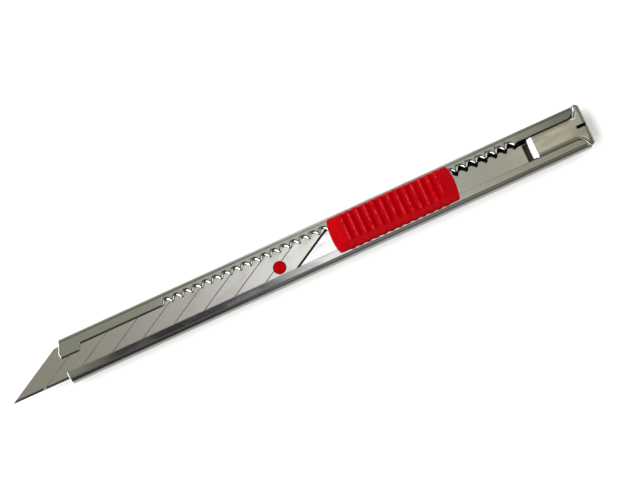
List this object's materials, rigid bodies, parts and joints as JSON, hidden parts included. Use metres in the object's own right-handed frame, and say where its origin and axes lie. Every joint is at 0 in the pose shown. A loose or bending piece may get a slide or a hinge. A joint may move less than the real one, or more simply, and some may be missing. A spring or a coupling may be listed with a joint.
{
  "type": "snap-off utility knife",
  "caption": "Slim snap-off utility knife: a channel sleeve of bent steel with a toothed lip, a sliding locked blade carrier with a ribbed thumb grip, and a pull-off end clip that snaps blades.",
  "frame": {"origin": "on the surface that the knife lies on, under the middle of its overall length with the blade out 16 mm, and half way across the sleeve", "axes": "+X along the knife towards the tail, with the blade leaving at -X; +Z out of the open face that carries the grip; the cutting edge is on the -Y side"},
  "size_m": [0.1662, 0.012, 0.0096],
  "materials": {
    "sleeve_steel": "bent stainless sheet, polished, with faint drawing lines along its length",
    "clip_steel": "bent stainless sheet, polished",
    "blade_steel": "carbon steel strip, fine ground, with a darker ground edge and scored break lines",
    "carrier_steel": "polished stainless sheet",
    "spring_steel": "rolled spring steel, satin",
    "rivet_steel": "turned and headed steel, satin",
    "red_moulding": "moulded red plastic, satin gloss, fine mould texture"
  },
  "bodies": {
    "sleeve": {"sleeve": "sleeve_steel"},
    "end_clip": {"end_clip": "clip_steel"},
    "carrier": {"carrier_tongue": "spring_steel", "carrier_plate": "carrier_steel", "snap_blade": "blade_steel", "blade_stud": "red_moulding", "carrier_rivet_front": "rivet_steel", "carrier_rivet_rear": "rivet_steel", "carrier_rivet_lock": "rivet_steel"},
    "lock_spring": {"lock_spring": "spring_steel"},
    "grip": {"thumb_grip": "red_moulding", "grip_stud_front": "rivet_steel", "grip_stud_rear": "rivet_steel", "grip_washer_front": "spring_steel", "grip_washer_rear": "spring_steel"}
  },
  "joints": [
    {"name": "carrier_slide", "type": "slide", "parent": "sleeve", "child": "carrier", "axis": [1, 0, 0], "range_m": [-0.0504, 0.0168]},
    {"name": "grip_shift", "type": "slide", "parent": "carrier", "child": "grip", "axis": [1, 0, 0], "range_m": [-0.0008, 0], "stiffness_N_per_m": 1200, "springref_m": 0.0004},
    {"name": "lock_flex", "type": "hinge", "parent": "carrier", "child": "lock_spring", "pos_m": [0.0347, -0.0002, 0.00475], "axis": [0, 0, 1], "range_deg": [0, 8]},
    {"name": "end_clip_pull", "type": "slide", "parent": "sleeve", "child": "end_clip", "axis": [1, 0, 0], "range_m": [0, 0.045]}
  ],
  "couplings": [
    {"joint": "lock_flex", "follows": "grip_shift", "rad_per_m": -174}
  ]
}
